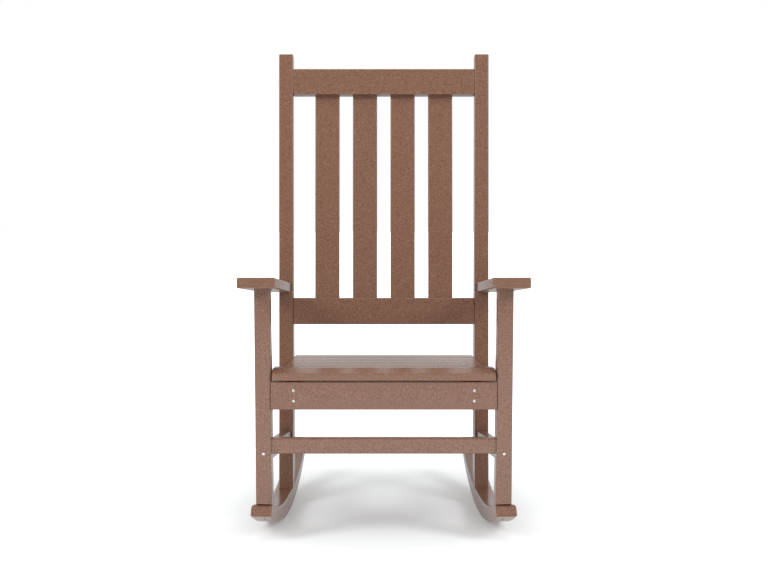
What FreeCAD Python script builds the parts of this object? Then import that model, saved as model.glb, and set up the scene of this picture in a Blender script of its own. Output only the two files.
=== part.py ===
import FreeCAD, Part
import math
import os

# Outdoor rocking chair built from solid plastic lumber boards. Millimetres and degrees.
# The chair stands at rest on its rockers, faces -Y, and has +X to the right and +Z up.
# The sizes count y from the front of the leg feet. The finished chair is then moved along Y,
# so that the origin lies on the floor under the middle of its length.

# Boards
edge_round = 3.2
joint_play = 0.3

# Rear posts, measured from the foot of their front face
post_width = 38.1
post_depth = 88.9
post_top_depth = 42.0
post_length = 1180.0
post_taper_start = 240.0
post_recline = 7.5
post_inner_x = 247.6
post_foot_y = 420.7
post_foot_z = 50.3

# Front legs
leg_width = 38.1
leg_depth = 63.5
leg_tilt = 1.2
leg_outset = 23.4
scoop_above_seat = 10.4
scoop_depth = 17.0
scoop_end_depth = 10.0
scoop_deepest_share = 0.45

# Rockers
rocker_radius = 900.0
rocker_thickness = 43.0
rocker_end_thickness = 24.4
rocker_width = 50.8
rocker_front = 16.0
rocker_back = 775.0
rocker_end_slope = 36.0
rocker_edge_round = 4.5
rocker_outer_round = 9.0
contact_y = 334.0

# Back rails and back slats
rail_thickness = 38.1
rail_setback = 2.0
top_rail_height = 69.0
top_rail_drop = 39.8
lower_rail_height = 71.5
lower_rail_above_seat = 84.7
slat_count = 4
slat_width = 66.5
slat_thickness = 12.7
slat_gap = 36.5
slat_setback_top = 21.5
slat_setback_low = 9.0
slat_tenon = 14.0

# Seat
seat_front_y = 1.5
seat_front_z = 426.6
seat_slope = 2.4
seat_slat_count = 5
seat_slat_width = 88.9
seat_slat_thickness = 28.6
seat_slat_gap = 7.0
seat_slat_play = 6.6
front_slat_play = 3.0
nose_length = 39.0
nose_drop = 10.3

# Seat frame
apron_drop = 2.0
apron_height = 68.0
apron_thickness = 25.4
apron_setback = 4.5
seat_rail_height = 63.5
seat_rail_thickness = 38.1
seat_rail_inset = 12.0
rear_rail_setback = 8.0

# Stretchers
front_stretcher_height = 38.1
front_stretcher_depth = 25.4
front_stretcher_setback = 6.0
front_stretcher_level = 122.2
side_stretcher_height = 38.1
side_stretcher_width = 25.4
side_stretcher_slope = 4.8
side_stretcher_level = 142.0

# Armrests
arm_width = 88.9
arm_thickness = 25.4
arm_outset = 5.8
arm_front_y = -63.0
arm_above_seat = 196.8
arm_slope = 4.8
arm_lap = 56.0
arm_edge_round = 3.5

# Screws
screw_shank = 5.0
screw_head = 7.6
screw_head_height = 1.6
screw_drive = 3.0
screw_drive_depth = 1.0
screw_tip = 6.0
screw_bite = 36.0
pilot_play = 0.05
bore_play = 0.4
shallow_bore = 3.5
deep_bore = 12.0
narrow_screw_spacing = 25.0
screw_row_step = 7.5
seat_screw_offset = 8.0

# Cutting bodies reach past the boards by this much.
overrun = 200.0

down = FreeCAD.Vector(0, 0, -1)
right = FreeCAD.Vector(1, 0, 0)
back = FreeCAD.Vector(0, 1, 0)
up = FreeCAD.Vector(0, 0, 1)
origin = FreeCAD.Vector(0, 0, 0)

# Places and directions that follow from the sizes above
leg_inner_x = post_inner_x + leg_outset
arm_inner_x = post_inner_x + arm_outset
seat_rail_x = post_inner_x - seat_rail_inset - seat_rail_thickness / 2
arm_front_z = seat_front_z + arm_above_seat
toe_in = math.degrees(math.atan2(leg_outset, post_foot_y))
run_to_post = math.hypot(leg_outset, post_foot_y)
arc_centre = contact_y / math.cos(math.radians(toe_in))
wide_screw_spacing = narrow_screw_spacing + 2 * screw_row_step


def frame(y, z, tilt, x=0, turn=0):
    # A local frame whose top leans back by tilt and whose back end turns inwards by turn.
    place = FreeCAD.Placement(FreeCAD.Vector(x, y, z), FreeCAD.Rotation(up, turn))
    return place.multiply(FreeCAD.Placement(origin, FreeCAD.Rotation(right, -tilt)))


def lower_curve(run):
    # Height of the underside of the rocker at a distance along it from the leg foot.
    return rocker_radius - math.sqrt(rocker_radius**2 - (run - arc_centre) ** 2)


# The upper curve is an arc that leaves the rocker its full thickness over the floor contact
# and its end thickness at the rear.
rear_reach = rocker_back - arc_centre
rear_rise = lower_curve(rocker_back) + rocker_end_thickness - rocker_thickness
rocker_top_radius = (rear_reach**2 + rear_rise**2) / (2 * rear_rise)


def upper_curve(run):
    top = rocker_thickness + rocker_top_radius
    return top - math.sqrt(rocker_top_radius**2 - (run - arc_centre) ** 2)


leg_foot_z = upper_curve(0)
side_stretcher_z = leg_foot_z + side_stretcher_level
post_frame = frame(post_foot_y, post_foot_z, post_recline)
rocker_frame = frame(0, 0, 0, leg_inner_x, toe_in)
leg_frame = frame(0, leg_foot_z, leg_tilt)
seat_frame = frame(seat_front_y, seat_front_z, seat_slope)
arm_frame = frame(arm_front_y, arm_front_z, arm_slope)
side_frame = frame(0, side_stretcher_z, side_stretcher_slope, leg_inner_x, toe_in)


def placed(shape, place):
    piece = shape.copy()
    piece.Placement = place.multiply(piece.Placement)
    return piece


def mirrored(shape):
    return shape.mirror(origin, right)


def block(x, y, z, width, depth, height):
    return Part.makeBox(width, depth, height, FreeCAD.Vector(x, y, z))


def board(x, y, z, width, depth, height, rounding=edge_round):
    # A board with every edge eased.
    blank = block(x, y, z, width, depth, height)
    return blank.makeFillet(rounding, blank.Edges)


def plate(outline, x, width):
    # A solid of the given width along X over a closed outline of lines and arcs of (y, z) points.
    edges = []
    for points in outline:
        vectors = [FreeCAD.Vector(x, y, z) for y, z in points]
        edges.append(Part.Arc(*vectors).toShape() if len(points) > 2 else Part.makeLine(*vectors))
    return Part.Face(Part.Wire(edges)).extrude(right * width)


def crossing(edge):
    # Whether an edge runs across the chair, along X.
    return round(abs(edge.tangentAt(edge.FirstParameter).dot(right))) != 0


def lengthwise(shape):
    # The edges that do not run across the width of a plate.
    return [edge for edge in shape.Edges if not crossing(edge)]


def crosspiece(x, y, z, width, depth, height):
    # A board along X with its long edges eased and its ends sawn square.
    blank = block(x, y, z, width, depth, height)
    return blank.makeFillet(edge_round, [edge for edge in blank.Edges if crossing(edge)])


# Screws

def screw(grip, sunk):
    # A screw along -Z with its head seated at z = -sunk and its point in the second board.
    length = grip - sunk + screw_bite
    head = Part.makeCylinder(screw_head / 2, screw_head_height)
    crown = max(head.Edges, key=lambda edge: edge.CenterOfMass.z)
    head = head.makeFillet(screw_head_height / 2, [crown])
    recess = Part.makeCylinder(screw_drive / 2, screw_drive_depth)
    recess.translate(up * (screw_head_height - screw_drive_depth))
    shank = Part.makeCylinder(screw_shank / 2, length - screw_tip, origin, down)
    tip_start = down * (length - screw_tip)
    tip = Part.makeCone(screw_shank / 2, screw_shank / 8, screw_tip, tip_start, down)
    whole = head.cut(recess).fuse([shank, tip]).removeSplitter()
    whole.translate(down * sunk)
    return whole


def pilot(grip, sunk):
    # The hole that the screw fills, with a counterbore where its head is sunk.
    length = grip - sunk + screw_bite
    hole = Part.makeCylinder(screw_shank / 2 + pilot_play, length, down * sunk, down)
    if not sunk:
        return hole
    bore = Part.makeCylinder(screw_head / 2 + bore_play, 2 * sunk, up * sunk, down)
    return bore.fuse(hole)


def aimed(x, y, z, inward, place):
    # The placement that sets a screw's head on a face at (x, y, z) and its point along inward.
    turn = FreeCAD.Rotation(down, inward)
    return place.multiply(FreeCAD.Placement(FreeCAD.Vector(x, y, z), turn))


def screw_group(spots):
    # Both sides' screws and pilot holes from the right side's (placement, grip, sunk) spots.
    screws = []
    holes = []
    for place, grip, sunk in spots:
        fastener = placed(screw(grip, sunk), place)
        hole = placed(pilot(grip, sunk), place)
        screws += [fastener, mirrored(fastener)]
        holes += [hole, mirrored(hole)]
    return Part.makeCompound(screws), holes


def drilled(piece, holes):
    near = [hole for hole in holes if hole.BoundBox.intersect(piece.BoundBox)]
    return piece.cut(near) if near else piece


# Rockers

def end_run(run, side):
    # Where the sloped end of the rocker meets the upper curve.
    thickness = upper_curve(run) - lower_curve(run)
    return run + side * thickness * math.tan(math.radians(rocker_end_slope))


def rocker():
    front_run = end_run(-rocker_front, 1)
    back_run = end_run(rocker_back, -1)
    low_front = (-rocker_front, lower_curve(-rocker_front))
    low_back = (rocker_back, lower_curve(rocker_back))
    high_front = (front_run, upper_curve(front_run))
    high_back = (back_run, upper_curve(back_run))
    outline = [
        [low_front, (arc_centre, 0), low_back],
        [low_back, high_back],
        [high_back, (arc_centre, rocker_thickness), high_front],
        [high_front, low_front],
    ]
    blank = plate(outline, 0, rocker_width)
    outer = [edge for edge in lengthwise(blank) if edge.BoundBox.XMin > rocker_width / 2]
    crown = max(outer, key=lambda edge: edge.BoundBox.ZMax - edge.BoundBox.ZMin + edge.CenterOfMass.z)
    blank = blank.makeFillet(rocker_outer_round, [crown])
    return placed(blank.makeFillet(rocker_edge_round, blank.Edges), rocker_frame)


def below_rocker_top():
    # Everything under the upper curve of the rocker, to cope the feet that stand on it.
    front = (-overrun, upper_curve(-overrun))
    rear = (rocker_back, upper_curve(rocker_back))
    outline = [
        [front, (arc_centre, rocker_thickness), rear],
        [rear, (rocker_back, -overrun)],
        [(rocker_back, -overrun), (-overrun, -overrun)],
        [(-overrun, -overrun), front],
    ]
    return placed(plate(outline, -overrun, 2 * overrun), rocker_frame)


# Posts, legs and arms

def post_blank(play):
    # The post without its eased edges and foot, larger by the play on every side.
    top = post_length + play
    deep = post_depth + play
    narrow = post_top_depth + play
    taper_middle = (narrow + (deep - narrow) / 4, (post_taper_start + top) / 2)
    outline = [
        [(-play, -overrun), (deep, -overrun)],
        [(deep, -overrun), (deep, post_taper_start)],
        [(deep, post_taper_start), taper_middle, (narrow, top)],
        [(narrow, top), (-play, top)],
        [(-play, top), (-play, -overrun)],
    ]
    return plate(outline, post_inner_x - play, post_width + 2 * play)


def rear_post():
    blank = post_blank(0)
    top_edges = [edge for edge in blank.Edges if edge.BoundBox.ZMin > post_length - edge_round]
    eased = blank.makeFillet(edge_round, lengthwise(blank) + top_edges)
    return placed(eased, post_frame).cut(below_rocker_top())


def front_leg():
    scoop_start = seat_front_z + scoop_above_seat - leg_foot_z
    scoop_end = arm_front_z - leg_foot_z
    deepest = (leg_depth - scoop_depth, scoop_start + scoop_deepest_share * (scoop_end - scoop_start))
    inset = leg_depth - scoop_end_depth
    top = scoop_end + overrun
    outline = [
        [(0, -overrun), (leg_depth, -overrun)],
        [(leg_depth, -overrun), (leg_depth, scoop_start)],
        [(leg_depth, scoop_start), deepest, (inset, scoop_end)],
        [(inset, scoop_end), (inset, top)],
        [(inset, top), (0, top)],
        [(0, top), (0, -overrun)],
    ]
    blank = plate(outline, leg_inner_x, leg_width)
    eased = blank.makeFillet(edge_round, lengthwise(blank))
    above_arm = block(0, -overrun, 0, leg_inner_x + overrun, 2 * overrun + leg_depth, 2 * overrun)
    return placed(eased, leg_frame).cut([placed(above_arm, arm_frame), below_rocker_top()])


def arm_run():
    # Distance along the underside of the arm from its front end to the front of the post.
    lean = math.radians(post_recline)
    slope = math.radians(arm_slope)
    gap = post_foot_y - arm_front_y + (arm_front_z - post_foot_z) * math.tan(lean)
    return gap / (math.cos(slope) + math.sin(slope) * math.tan(lean))


def armrest():
    # The arm butts on the front of the post and laps its outer side, where the edge stays square.
    blank = block(arm_inner_x, 0, 0, arm_width, arm_run() + arm_lap, arm_thickness)
    notched = placed(blank, arm_frame).cut(placed(post_blank(joint_play), post_frame))
    lap_x = post_inner_x + post_width + joint_play
    eased = [edge for edge in notched.Edges if abs(edge.CenterOfMass.x - lap_x) > joint_play]
    return notched.makeFillet(arm_edge_round, eased)


# Back

def seat_meets_post(drop, setback):
    # Height along the posts of the plane that lies by drop under the seat, setback behind their front.
    lean = math.radians(post_recline)
    slope = math.tan(math.radians(seat_slope))
    y = post_foot_y + setback * math.cos(lean)
    z = post_foot_z - setback * math.sin(lean)
    level = seat_front_z - drop / math.cos(math.radians(seat_slope))
    return (level - (y - seat_front_y) * slope - z) / (math.cos(lean) + slope * math.sin(lean))


lower_rail_level = seat_meets_post(0, 0) + lower_rail_above_seat
top_rail_level = post_length - top_rail_drop - top_rail_height
slat_start = lower_rail_level + lower_rail_height
slat_run = top_rail_level - slat_start
slat_tilt = math.degrees(math.atan((slat_setback_top - slat_setback_low) / slat_run))


def back_slat(number, play=0):
    middle = (number - (slat_count + 1) / 2) * (slat_width + slat_gap)
    width = slat_width + 2 * play
    depth = slat_thickness + 2 * play
    height = slat_run + 2 * slat_tenon + 2 * play
    blank = board(middle - width / 2, -play, -slat_tenon - play, width, depth, height)
    foot = frame(rail_setback + slat_setback_low, slat_start, slat_tilt)
    return placed(blank, post_frame.multiply(foot))


def back_rail(level, height):
    rail = board(-post_inner_x, rail_setback, level, 2 * post_inner_x, rail_thickness, height)
    mortises = [back_slat(number + 1, joint_play) for number in range(slat_count)]
    return placed(rail, post_frame).cut(mortises)


# Seat

def seat_slat(number):
    half = post_inner_x - seat_slat_play
    start = number * (seat_slat_width + seat_slat_gap)
    blank = board(-half, start, -seat_slat_thickness, 2 * half, seat_slat_width, seat_slat_thickness)
    return placed(blank, seat_frame)


def front_seat_slat():
    # The front slat reaches from leg to leg and its top slopes down to the front.
    half = leg_inner_x - front_slat_play
    outline = [
        [(0, -seat_slat_thickness), (seat_slat_width, -seat_slat_thickness)],
        [(seat_slat_width, -seat_slat_thickness), (seat_slat_width, 0)],
        [(seat_slat_width, 0), (nose_length, 0)],
        [(nose_length, 0), (0, -nose_drop)],
        [(0, -nose_drop), (0, -seat_slat_thickness)],
    ]
    blank = plate(outline, -half, 2 * half)
    return placed(blank.makeFillet(edge_round, blank.Edges), seat_frame)


apron_middle = -seat_slat_thickness - apron_drop - apron_height / 2


def front_apron():
    low = apron_middle - apron_height / 2
    size = (2 * leg_inner_x, apron_thickness, apron_height)
    return placed(crosspiece(-leg_inner_x, apron_setback, low, *size), seat_frame)


def rear_rail_top():
    return seat_meets_post(seat_slat_thickness, rear_rail_setback)


def rear_seat_rail():
    low = rear_rail_top() - seat_rail_height
    width = 2 * post_inner_x
    blank = board(-post_inner_x, rear_rail_setback, low, width, seat_rail_thickness, seat_rail_height)
    return placed(blank, post_frame)


def seat_side_rail():
    start = apron_setback + apron_thickness
    low = -seat_slat_thickness - seat_rail_height
    left = seat_rail_x - seat_rail_thickness / 2
    length = post_foot_y + overrun
    blank = board(left, start, low, seat_rail_thickness, length, seat_rail_height)
    behind = block(0, rear_rail_setback, 0, 2 * seat_rail_x, length + overrun, post_length)
    return placed(blank, seat_frame).cut(placed(behind, post_frame))


# Stretchers

def front_stretcher():
    size = (2 * leg_inner_x, front_stretcher_depth, front_stretcher_height)
    place = (-leg_inner_x, front_stretcher_setback, front_stretcher_level)
    return placed(crosspiece(*place, *size), leg_frame)


def side_stretcher():
    left = (leg_width - side_stretcher_width) / 2
    size = (side_stretcher_width, run_to_post + post_depth, side_stretcher_height)
    blank = block(left, 0, -side_stretcher_height, *size)
    long_edges = [edge for edge in blank.Edges if edge.Length > run_to_post]
    leg = block(0, -overrun, 0, leg_inner_x + overrun, overrun + leg_depth, side_stretcher_z)
    post = block(0, 0, 0, leg_inner_x + overrun, overrun, side_stretcher_z)
    eased = placed(blank.makeFillet(edge_round, long_edges), side_frame)
    return eased.cut([placed(leg, leg_frame), placed(post, post_frame)])


# Screws of each joint on the right side: placement, grip, and how deep the head is sunk

def spread(middle, spacing):
    return [middle - spacing / 2, middle + spacing / 2]


def apron_spots():
    spots = []
    for z in spread(apron_middle, narrow_screw_spacing):
        place = aimed(seat_rail_x, apron_setback, z, back, seat_frame)
        spots.append((place, apron_thickness, screw_head_height))
    return spots


def stretcher_front_spots():
    x = leg_inner_x + leg_width / 2
    level = side_stretcher_level - side_stretcher_height / 2
    return [(aimed(x, 0, level, back, leg_frame), leg_depth, screw_head_height)]


def stretcher_back_spots():
    x = post_inner_x + post_width / 2
    fall = run_to_post * math.tan(math.radians(side_stretcher_slope)) + side_stretcher_height / 2
    level = (side_stretcher_z - fall - post_foot_z) / math.cos(math.radians(post_recline))
    return [(aimed(x, post_depth, level, -back, post_frame), post_depth, deep_bore)]


def front_stretcher_spots():
    x = leg_inner_x + leg_width
    y = front_stretcher_setback + front_stretcher_depth / 2
    level = front_stretcher_level + front_stretcher_height / 2
    return [(aimed(x, y, level, -right, leg_frame), leg_width, 0)]


def apron_end_spots():
    x = leg_inner_x + leg_width
    y = apron_setback + apron_thickness / 2
    levels = spread(apron_middle, wide_screw_spacing)
    return [(aimed(x, y, z, -right, seat_frame), leg_width, screw_head_height) for z in levels]


def back_rail_spots():
    x = post_inner_x + post_width
    y = rail_setback + rail_thickness / 2
    levels = [lower_rail_level + lower_rail_height / 2, top_rail_level + top_rail_height / 2]
    return [(aimed(x, y, z, -right, post_frame), post_width, 0) for z in levels]


def rear_rail_spots():
    x = post_inner_x + post_width
    y = rear_rail_setback + seat_rail_thickness / 2
    levels = spread(rear_rail_top() - seat_rail_height / 2, wide_screw_spacing)
    return [(aimed(x, y, z, -right, post_frame), post_width, screw_head_height) for z in levels]


def side_rail_spots():
    y = rear_rail_setback + seat_rail_thickness
    levels = spread(rear_rail_top() - seat_rail_height / 2, narrow_screw_spacing)
    return [(aimed(seat_rail_x, y, z, -back, post_frame), seat_rail_thickness, 0) for z in levels]


def seat_slat_spots():
    x = seat_rail_x - seat_screw_offset
    pitch = seat_slat_width + seat_slat_gap
    runs = [number * pitch + seat_slat_width / 2 for number in range(seat_slat_count)]
    return [(aimed(x, y, 0, down, seat_frame), seat_slat_thickness, shallow_bore) for y in runs]


def foot_spots(x, y, tilt, spacing):
    # Up through the rocker into the end of a leg or post that leans back by tilt.
    inward = FreeCAD.Rotation(right, -tilt).multVec(up)
    middle = y - rocker_thickness * math.tan(math.radians(tilt))
    spots = []
    for start in spread(middle, spacing):
        low = lower_curve(start)
        spots.append((aimed(x, start, low, inward, frame(0, 0, 0)), upper_curve(start) - low, deep_bore))
    return spots


def rocker_spots():
    leg_x = leg_inner_x + leg_width / 2
    post_x = post_inner_x + post_width / 2
    leg_spots = foot_spots(leg_x, leg_depth / 2, leg_tilt, narrow_screw_spacing)
    post_spots = foot_spots(post_x, post_foot_y + post_depth / 2, post_recline, wide_screw_spacing)
    return leg_spots + post_spots


def arm_top_spots():
    x = leg_inner_x + leg_width / 2
    lean = (arm_front_z - leg_foot_z) * math.tan(math.radians(leg_tilt))
    middle = lean + (leg_depth - scoop_end_depth) / 2 - arm_front_y
    runs = spread(middle, narrow_screw_spacing)
    return [(aimed(x, y, arm_thickness, down, arm_frame), arm_thickness, shallow_bore) for y in runs]


def arm_side_spots():
    runs = spread(arm_run() + arm_lap / 2, narrow_screw_spacing)
    level = arm_thickness / 2
    return [(aimed(post_inner_x, y, level, right, arm_frame), post_width, screw_head_height) for y in runs]


def side_pieces():
    return {
        "rear_post": rear_post(),
        "front_leg": front_leg(),
        "armrest": armrest(),
        "rocker": rocker(),
        "seat_side_rail": seat_side_rail(),
        "side_stretcher": side_stretcher(),
    }


def cross_pieces():
    pieces = {
        "top_back_rail": back_rail(top_rail_level, top_rail_height),
        "lower_back_rail": back_rail(lower_rail_level, lower_rail_height),
        "seat_slat_1": front_seat_slat(),
        "front_apron": front_apron(),
        "rear_seat_rail": rear_seat_rail(),
        "front_stretcher": front_stretcher(),
    }
    for number in range(1, slat_count + 1):
        pieces[f"back_slat_{number}"] = back_slat(number)
    for number in range(1, seat_slat_count):
        pieces[f"seat_slat_{number + 1}"] = seat_slat(number)
    return pieces


def fasteners():
    return {
        "apron_screws": apron_spots(),
        "apron_end_screws": apron_end_spots(),
        "front_stretcher_screws": front_stretcher_spots(),
        "side_stretcher_front_screws": stretcher_front_spots(),
        "side_stretcher_rear_screws": stretcher_back_spots(),
        "back_rail_screws": back_rail_spots(),
        "rear_seat_rail_screws": rear_rail_spots(),
        "seat_side_rail_screws": side_rail_spots(),
        "seat_slat_screws": seat_slat_spots(),
        "rocker_screws": rocker_spots(),
        "arm_front_screws": arm_top_spots(),
        "arm_rear_screws": arm_side_spots(),
    }


def build():
    boards = cross_pieces()
    for name, piece in side_pieces().items():
        boards["right_" + name] = piece
        boards["left_" + name] = mirrored(piece)
    groups = {}
    holes = []
    for name, spots in fasteners().items():
        groups[name], group_holes = screw_group(spots)
        holes += group_holes
    chair = {name: drilled(piece, holes) for name, piece in boards.items()}
    chair.update(groups)
    box = Part.makeCompound(list(boards.values())).optimalBoundingBox(False, False)
    centred = FreeCAD.Placement(back * (-(box.YMin + box.YMax) / 2), FreeCAD.Rotation())
    return {name: placed(piece, centred) for name, piece in chair.items()}


if __name__ == "__main__":
    os.makedirs("parts", exist_ok=True)
    for name, shape in build().items():
        shape.exportStep(f"parts/{name}.step")
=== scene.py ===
import math
import bpy
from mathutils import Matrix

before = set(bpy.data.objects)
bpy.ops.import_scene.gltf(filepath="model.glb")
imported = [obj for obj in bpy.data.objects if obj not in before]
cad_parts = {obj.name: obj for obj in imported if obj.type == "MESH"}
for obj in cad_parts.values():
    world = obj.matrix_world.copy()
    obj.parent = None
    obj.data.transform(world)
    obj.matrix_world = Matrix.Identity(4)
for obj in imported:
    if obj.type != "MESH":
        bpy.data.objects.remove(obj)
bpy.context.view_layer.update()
print("frame loaded:", len(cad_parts), "nodes")

scene = bpy.context.scene


# Camera, at the height and distance that the photograph was taken from

view = {
    "place": (0.0, -3.6007, 0.8326),  # metres, in front of the chair
    "lookDown": 7.5,                  # degrees below level
    "lens": 64.27,                    # millimetres, as is the width of the sensor
    "sensor": 36.0,
    "axisPixel": (383.84, 378.0),     # where the lens axis meets the picture
    "pictureSize": (768, 576),
}


def makeCamera():
    data = bpy.data.cameras.new("photoCamera")
    data.sensor_width = view["sensor"]
    data.lens = view["lens"]
    width, height = view["pictureSize"]
    axisX, axisY = view["axisPixel"]
    data.shift_x = (width / 2 - axisX) / width
    data.shift_y = (axisY - height / 2) / width
    camera = bpy.data.objects.new("photoCamera", data)
    camera.location = view["place"]
    camera.rotation_euler = (math.radians(90 - view["lookDown"]), 0, 0)
    scene.collection.objects.link(camera)
    scene.camera = camera


makeCamera()
print("camera placed")


# Node helpers

def setInputs(tree, node, inputs):
    # An input takes a plain value, or a link from the output that it is given.
    for name, value in inputs.items():
        if isinstance(value, bpy.types.NodeSocket):
            tree.links.new(value, node.inputs[name])
        else:
            node.inputs[name].default_value = value


def addNode(tree, kind, inputs=None, **settings):
    node = tree.nodes.new(kind)
    for name, value in settings.items():
        setattr(node, name, value)
    setInputs(tree, node, inputs or {})
    return node


def addMath(tree, operation, first, second=0.0, clamp=False):
    node = addNode(tree, "ShaderNodeMath", {0: first, 1: second}, operation=operation, use_clamp=clamp)
    return node.outputs["Value"]


def addNoise(tree, vector, scale, detail, roughness=0.5):
    inputs = {"Vector": vector, "Scale": scale, "Detail": detail, "Roughness": roughness}
    return addNode(tree, "ShaderNodeTexNoise", inputs).outputs["Fac"]


# The Mix node has sockets of the same names for each kind of value, so its colours go by number.
mixSockets = {"first": 6, "second": 7, "result": 2}


def addMix(tree, factor, first, second):
    inputs = {"Factor": factor, mixSockets["first"]: first, mixSockets["second"]: second}
    return addNode(tree, "ShaderNodeMix", inputs, data_type="RGBA").outputs[mixSockets["result"]]


def addRange(tree, value, span, newSpan=(0.0, 1.0)):
    inputs = {"Value": value}
    inputs["From Min"], inputs["From Max"] = span
    inputs["To Min"], inputs["To Max"] = newSpan
    return addNode(tree, "ShaderNodeMapRange", inputs).outputs["Result"]


def addStretch(tree, vector, factors):
    node = addNode(tree, "ShaderNodeVectorMath", {0: vector, 1: factors}, operation="MULTIPLY")
    return node.outputs["Vector"]


def addMapping(tree, vector, inputs, kind="POINT"):
    node = addNode(tree, "ShaderNodeMapping", {"Vector": vector, **inputs}, vector_type=kind)
    return node.outputs["Vector"]


def addBump(tree, height, strength, depth, under=None):
    # What lies under it is the normal of another bump.
    inputs = {"Height": height, "Strength": strength, "Distance": depth}
    if under is not None:
        inputs["Normal"] = under
    return addNode(tree, "ShaderNodeBump", inputs).outputs["Normal"]


def newGroup(name, inputs, outputs):
    # The sockets are given as names with their kinds: Vector, Color or Float.
    group = bpy.data.node_groups.new(name, "ShaderNodeTree")
    for direction, sockets in (("INPUT", inputs), ("OUTPUT", outputs)):
        for socketName, kind in sockets.items():
            group.interface.new_socket(name=socketName, in_out=direction, socket_type="NodeSocket" + kind)
    start = group.nodes.new("NodeGroupInput")
    end = group.nodes.new("NodeGroupOutput")
    return group, start.outputs, end


def placeGroup(tree, group, inputs):
    return addNode(tree, "ShaderNodeGroup", inputs, node_tree=group).outputs


def newMaterial(name):
    material = bpy.data.materials.new(name)
    material.use_nodes = True
    tree = material.node_tree
    return material, tree, tree.nodes["Principled BSDF"]


def toLinear(red, green, blue):
    # A colour read as 0 to 255 on the screen, as Blender's linear light, by the standard screen curve.
    shares = [value / 255 for value in (red, green, blue)]
    return tuple(s / 12.92 if s <= 0.04045 else ((s + 0.055) / 1.055) ** 2.4 for s in shares) + (1.0,)


# Shared effect: the fine pebbled and faintly brushed skin of solid plastic lumber

boardPattern = {
    "pebbleDetail": 2.0,
    "pebbleRoughness": 0.6,
    "pitScale": 2.7,                   # times the pebble scale, as is the scale of the streaks
    "pitDetail": 1.0,
    "streakScale": 1.4,
    "streakDetail": 2.0,
    "streakStretch": (0.1, 1.0, 1.0),  # ten times as long as wide
    "lightSpan": (0.5, 0.68),          # the noise at which a mask starts and is full
    "darkSpan": (0.5, 0.32),
    "pitSpan": (0.56, 0.72),
    "streakSpan": (0.4, 0.75),
    "pebbleHeight": 0.6,
    "pitHeight": 0.2,
    "streakHeight": 0.2,
}


def makeBoardGroup():
    # The X axis of the vector runs along the board.
    group, given, end = newGroup(
        "boardSkin",
        {
            "Vector": "Vector",
            "Body": "Color",
            "Light Fleck": "Color",
            "Dark Fleck": "Color",
            "Pebble Scale": "Float",
            "Fleck Share": "Float",
            "Streak Share": "Float",
            "Roughness": "Float",
            "Roughness Spread": "Float",
        },
        {"Color": "Color", "Roughness": "Float", "Height": "Float"},
    )
    pattern = boardPattern
    vector = given["Vector"]
    scale = given["Pebble Scale"]
    pebble = addNoise(group, vector, scale, pattern["pebbleDetail"], pattern["pebbleRoughness"])
    pitScale = addMath(group, "MULTIPLY", scale, pattern["pitScale"])
    pit = addNoise(group, vector, pitScale, pattern["pitDetail"])
    streakScale = addMath(group, "MULTIPLY", scale, pattern["streakScale"])
    stretched = addStretch(group, vector, pattern["streakStretch"])
    streak = addNoise(group, stretched, streakScale, pattern["streakDetail"])

    color = given["Body"]
    for noise, span, share, tint in (
        (pebble, "lightSpan", "Fleck Share", "Light Fleck"),
        (pebble, "darkSpan", "Fleck Share", "Dark Fleck"),
        (pit, "pitSpan", "Fleck Share", "Dark Fleck"),
        (streak, "streakSpan", "Streak Share", "Light Fleck"),
    ):
        mask = addMath(group, "MULTIPLY", addRange(group, noise, pattern[span]), given[share])
        color = addMix(group, mask, color, given[tint])

    # Each noise is 0.5 on average, so the wave swings about zero.
    wave = addMath(group, "SUBTRACT", addMath(group, "ADD", pebble, pit), 1.0)
    spread = addMath(group, "MULTIPLY", wave, given["Roughness Spread"])
    roughness = addMath(group, "ADD", given["Roughness"], spread, clamp=True)

    height = addMath(group, "MULTIPLY", pebble, pattern["pebbleHeight"])
    for noise, share in ((pit, "pitHeight"), (streak, "streakHeight")):
        height = addMath(group, "ADD", height, addMath(group, "MULTIPLY", noise, pattern[share]))
    setInputs(group, end, {"Color": color, "Roughness": roughness, "Height": height})
    return group


# Shared effect: where a board is cut across, a mask for its ends and the marks that the saw leaves there

sawPattern = {
    "endSpan": (0.9, 0.98),          # how squarely a face looks along the board
    "markDetail": 2.0,
    "markStretch": (1.0, 0.05, 1.0),
}


def makeSawGroup():
    group, given, end = newGroup(
        "sawnEnd",
        {"Vector": "Vector", "Facing": "Vector", "Mark Scale": "Float"},
        {"Mask": "Float", "Marks": "Float"},
    )
    facing = addNode(group, "ShaderNodeSeparateXYZ", {"Vector": given["Facing"]}).outputs
    mask = addRange(group, addMath(group, "ABSOLUTE", facing["X"]), sawPattern["endSpan"])
    stretched = addStretch(group, given["Vector"], sawPattern["markStretch"])
    marks = addNoise(group, stretched, given["Mark Scale"], sawPattern["markDetail"])
    setInputs(group, end, {"Mask": mask, "Marks": marks})
    return group


# Shared effect: fine turning marks and a few dull stains on a screw head

steelPattern = {
    "markScale": 2600.0,
    "markDetail": 2.0,
    "markSpan": (0.3, 0.7),
    "markRoughness": (-0.06, 0.1),  # added to the roughness over that span
    "stainScale": 420.0,
    "stainDetail": 3.0,
    "stainSpan": (0.58, 0.8),
    "stainShare": (0.0, 0.6),
}


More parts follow.
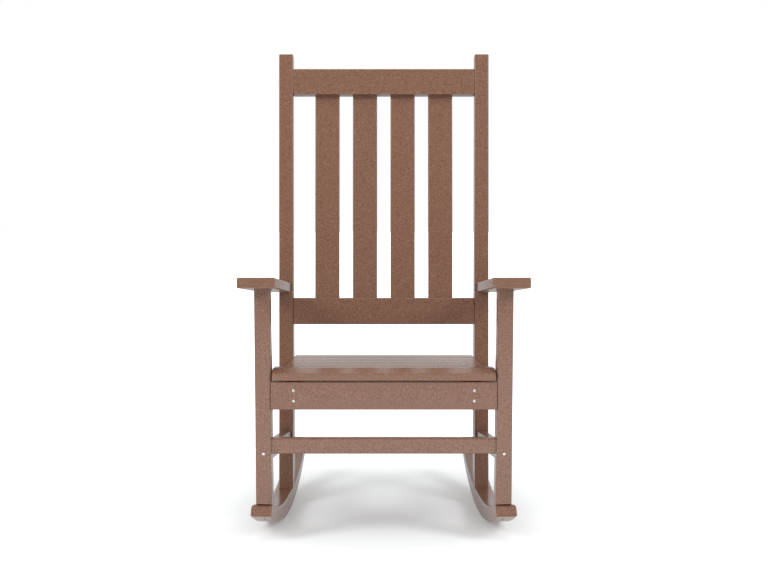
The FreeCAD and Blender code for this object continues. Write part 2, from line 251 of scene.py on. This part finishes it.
def makeSteelGroup():
    group, given, end = newGroup(
        "turnedSteel",
        {"Vector": "Vector", "Body": "Color", "Stain": "Color", "Roughness": "Float"},
        {"Color": "Color", "Roughness": "Float", "Height": "Float"},
    )
    pattern = steelPattern
    marks = addNoise(group, given["Vector"], pattern["markScale"], pattern["markDetail"])
    patches = addNoise(group, given["Vector"], pattern["stainScale"], pattern["stainDetail"])
    stained = addRange(group, patches, pattern["stainSpan"], pattern["stainShare"])
    color = addMix(group, stained, given["Body"], given["Stain"])
    spread = addRange(group, marks, pattern["markSpan"], pattern["markRoughness"])
    roughness = addMath(group, "ADD", given["Roughness"], spread, clamp=True)
    setInputs(group, end, {"Color": color, "Roughness": roughness, "Height": marks})
    return group


boardSkin = makeBoardGroup()
sawnEnd = makeSawGroup()
turnedSteel = makeSteelGroup()
print("shared effects built")


# Plastic lumber, one material for each board so that no pattern runs on into its neighbour

lumber = {
    "skin": {                     # by the names of the skin's inputs
        "Body": toLinear(134.5, 97, 78.5),
        "Light Fleck": toLinear(158, 121, 101),
        "Dark Fleck": toLinear(98, 67, 52),
        "Pebble Scale": 370.0,    # one pebble is about 3 mm
        "Fleck Share": 0.8,
        "Streak Share": 0.12,
        "Roughness": 0.24,
        "Roughness Spread": 0.12,
    },
    "patternStep": (0.0173, 0.0231, 0.0097),  # metres from the pattern of one board to the next one's
    "ior": 1.5,
    "bumpStrength": 0.05,
    "bumpDepth": 0.0003,          # metres, as is the depth of the saw's marks
    "sawnBody": toLinear(120, 82, 64),
    "sawMarkScale": 450.0,
    "sawToneSpan": (0.38, 0.62),
    "sawToneShare": (0.1, 1.0),   # how much of the sawn colour shows over that span of the marks
    "sawRoughness": 0.35,         # added on the ends
    "sawBumpStrength": 0.4,
    "sawBumpDepth": 0.0004,
}

# The turn that brings a board's length to the X axis of its pattern.
boardTurns = {
    "across": (0.0, 0.0, 0.0),
    "fore": (0.0, 0.0, math.pi / 2),
    "upright": (0.0, math.pi / 2, 0.0),
}


def numbered(start):
    return sorted(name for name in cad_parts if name.startswith(start) and name[-1].isdigit())


def onBothSides(*names):
    return [f"{side}_{name}" for side in ("left", "right") for name in names]


crossBoards = ["top_back_rail", "lower_back_rail", "front_apron", "rear_seat_rail", "front_stretcher"]
boardRuns = {
    "across": crossBoards + numbered("seat_slat_"),
    "fore": onBothSides("rocker", "armrest", "seat_side_rail", "side_stretcher"),
    "upright": numbered("back_slat_") + onBothSides("rear_post", "front_leg"),
}


def makeLumber(name, run, seed):
    material, tree, shader = newMaterial(name)
    coordinates = addNode(tree, "ShaderNodeTexCoord").outputs
    turn = boardTurns[run]
    shift = [seed * step for step in lumber["patternStep"]]
    place = addMapping(tree, coordinates["Object"], {"Location": shift, "Rotation": turn})
    facing = addMapping(tree, coordinates["Normal"], {"Rotation": turn}, kind="VECTOR")
    skin = placeGroup(tree, boardSkin, {"Vector": place, **lumber["skin"]})
    sawInputs = {"Vector": place, "Facing": facing, "Mark Scale": lumber["sawMarkScale"]}
    saw = placeGroup(tree, sawnEnd, sawInputs)

    sawShare = addRange(tree, saw["Marks"], lumber["sawToneSpan"], lumber["sawToneShare"])
    sawTone = addMath(tree, "MULTIPLY", saw["Mask"], sawShare)
    color = addMix(tree, sawTone, skin["Color"], lumber["sawnBody"])
    sawRoughness = addMath(tree, "MULTIPLY", saw["Mask"], lumber["sawRoughness"])
    roughness = addMath(tree, "ADD", skin["Roughness"], sawRoughness, clamp=True)

    relief = addBump(tree, skin["Height"], lumber["bumpStrength"], lumber["bumpDepth"])
    sawStrength = addMath(tree, "MULTIPLY", saw["Mask"], lumber["sawBumpStrength"])
    relief = addBump(tree, saw["Marks"], sawStrength, lumber["sawBumpDepth"], under=relief)
    finish = {"Base Color": color, "Roughness": roughness, "IOR": lumber["ior"], "Normal": relief}
    setInputs(tree, shader, finish)
    return material


def dress(nodeName, material):
    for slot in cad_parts[nodeName].material_slots:
        slot.material = material


def dressBoards():
    seed = 0
    for run, names in boardRuns.items():
        for name in names:
            seed += 1
            dress(name, makeLumber("lumber_" + name, run, seed))
    return seed


print("boards dressed:", dressBoards())


# Stainless screws

steel = {
    "turning": {                  # by the names of the turned steel's inputs
        "Body": (0.64, 0.62, 0.6, 1.0),
        "Stain": (0.42, 0.39, 0.36, 1.0),
        "Roughness": 0.28,
    },
    "metallic": 1.0,
    "bumpStrength": 0.3,
    "bumpDepth": 0.00005,
}


def makeSteel():
    material, tree, shader = newMaterial("screwSteel")
    place = addNode(tree, "ShaderNodeTexCoord").outputs["Object"]
    turned = placeGroup(tree, turnedSteel, {"Vector": place, **steel["turning"]})
    relief = addBump(tree, turned["Height"], steel["bumpStrength"], steel["bumpDepth"])
    finish = {"Base Color": turned["Color"], "Roughness": turned["Roughness"], "Normal": relief}
    setInputs(tree, shader, {"Metallic": steel["metallic"], **finish})
    return material


def dressScrews():
    material = makeSteel()
    names = [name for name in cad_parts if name.endswith("_screws")]
    for name in names:
        dress(name, material)
    return len(names)


print("screw groups dressed:", dressScrews())


# White studio floor, backdrop and lamps

studio = {
    "floorSize": 60.0,
    "floorColor": (0.84, 0.876, 0.888, 1.0),
    "floorFill": 0.225,       # keeps the chair's shadow as pale as in the photograph
    "floorGlow": 1.0,         # added away from the chair, so that the floor meets the backdrop
    "glowShift": (0.0, -0.03, 0.0),
    "glowScale": (1.0, 0.7, 1.0),
    "glowSpan": (0.3, 1.2),   # metres from the middle of the chair
    "farLevel": 0.66,         # the floor far behind the chair, in reflections
    "farSpan": (0.3, 1.2),    # metres behind the middle of the chair
    "backdropColor": (1.0, 1.0, 1.0, 1.0),
    "backdrop": 1.0,
    "darkFront": 0.0,         # what lies behind the camera, in reflections
    "frontSpan": (-0.3, 0.25),  # from that level to the backdrop's, by the Y of the direction
    "lowBack": 0.68,          # the backdrop straight behind the chair, in reflections
    "lowBackSpan": (0.05, 0.3),
    "lowBackRise": 0.5,       # a lower share makes that part of the backdrop taller
    "ambient": 0.63,          # even light from all around
    "sidePower": 62.0,        # watts, as is the power of the lamp above
    "sidePlace": (3.0, -2.6, 2.8),
    "topPower": 15.0,
    "topPlace": (0.0, -1.8, 4.0),
    "lampSize": 1.6,
    "lampAim": (0.0, 0.0, 0.6),
}


def seenDirectly(tree):
    # One for camera, glossy and transmission rays, and zero for the light that falls on things.
    path = addNode(tree, "ShaderNodeLightPath").outputs
    direct = addMath(tree, "ADD", path["Is Camera Ray"], path["Is Glossy Ray"])
    return addMath(tree, "ADD", direct, path["Is Transmission Ray"], clamp=True)


def makeFloorMaterial():
    material, tree, shader = newMaterial("studioFloor")
    tree.nodes.remove(shader)
    coordinates = addNode(tree, "ShaderNodeTexCoord").outputs
    plain = addNode(tree, "ShaderNodeBsdfDiffuse", {"Color": studio["floorColor"]}).outputs["BSDF"]

    scaled = {"Location": studio["glowShift"], "Scale": studio["glowScale"]}
    place = addMapping(tree, coordinates["Object"], scaled)
    distance = addNode(tree, "ShaderNodeVectorMath", {0: place}, operation="LENGTH").outputs["Value"]
    away = addRange(tree, distance, studio["glowSpan"])
    level = addMath(tree, "ADD", addMath(tree, "MULTIPLY", away, studio["floorGlow"]), studio["floorFill"])
    strength = addMath(tree, "MULTIPLY", seenDirectly(tree), level)
    glow = addNode(tree, "ShaderNodeEmission", {"Strength": strength}).outputs["Emission"]
    near = addNode(tree, "ShaderNodeAddShader", {0: plain, 1: glow}).outputs["Shader"]

    # Far behind the chair, reflections see an even level instead.
    floorPlace = addNode(tree, "ShaderNodeSeparateXYZ", {"Vector": coordinates["Object"]}).outputs
    rear = addRange(tree, floorPlace["Y"], studio["farSpan"])
    glossyRay = addNode(tree, "ShaderNodeLightPath").outputs["Is Glossy Ray"]
    farShare = addMath(tree, "MULTIPLY", rear, glossyRay)
    far = addNode(tree, "ShaderNodeEmission", {"Strength": studio["farLevel"]}).outputs["Emission"]
    whole = addNode(tree, "ShaderNodeMixShader", {"Fac": farShare, 1: near, 2: far}).outputs["Shader"]
    setInputs(tree, tree.nodes["Material Output"], {"Surface": whole})
    material.cycles.emission_sampling = "NONE"
    return material


def makeFloor():
    bpy.ops.mesh.primitive_plane_add(size=studio["floorSize"])
    floor = bpy.context.object
    floor.name = "studioFloor"
    floor.data.materials.append(makeFloorMaterial())


def makeWorld():
    world = bpy.data.worlds.new("studio")
    scene.world = world
    world.use_nodes = True
    world.cycles.sampling_method = "NONE"
    tree = world.node_tree
    place = addNode(tree, "ShaderNodeTexCoord").outputs["Object"]
    direction = addNode(tree, "ShaderNodeSeparateXYZ", {"Vector": place}).outputs

    # What reflections see: dark behind the camera, and dimmer low behind the chair.
    backLevels = (studio["darkFront"], studio["backdrop"])
    behind = addRange(tree, direction["Y"], studio["frontSpan"], backLevels)
    aside = addMath(tree, "ABSOLUTE", direction["X"])
    rise = addMath(tree, "MULTIPLY", direction["Z"], studio["lowBackRise"])
    offMiddle = addMath(tree, "ADD", aside, rise)
    dimming = addRange(tree, offMiddle, studio["lowBackSpan"], (studio["lowBack"], 1.0))
    reflected = addMath(tree, "MULTIPLY", behind, dimming)

    seen = seenDirectly(tree)
    cameraRay = addNode(tree, "ShaderNodeLightPath").outputs["Is Camera Ray"]
    camera = addMath(tree, "MULTIPLY", cameraRay, studio["backdrop"])
    mirrored = addMath(tree, "MULTIPLY", addMath(tree, "SUBTRACT", seen, cameraRay), reflected)
    lit = addMath(tree, "MULTIPLY", addMath(tree, "SUBTRACT", 1.0, seen), studio["ambient"])
    strength = addMath(tree, "ADD", addMath(tree, "ADD", camera, mirrored), lit)
    setInputs(tree, tree.nodes["Background"], {"Color": studio["backdropColor"], "Strength": strength})


def makeLamp(name, place, power):
    data = bpy.data.lights.new(name, "AREA")
    data.shape = "DISK"
    data.size = studio["lampSize"]
    data.energy = power
    lamp = bpy.data.objects.new(name, data)
    lamp.location = place
    aimX, aimY, aimZ = [target - start for target, start in zip(studio["lampAim"], place)]
    across = math.hypot(aimX, aimY)
    lamp.rotation_euler = (math.atan2(across, -aimZ), 0, math.atan2(-aimX, aimY))
    scene.collection.objects.link(lamp)


def makeLamps():
    x, y, z = studio["sidePlace"]
    makeLamp("leftLamp", (-x, y, z), studio["sidePower"])
    makeLamp("rightLamp", (x, y, z), studio["sidePower"])
    makeLamp("topLamp", studio["topPlace"], studio["topPower"])


makeFloor()
makeWorld()
makeLamps()
scene.view_settings.view_transform = "Standard"
print("studio lit")
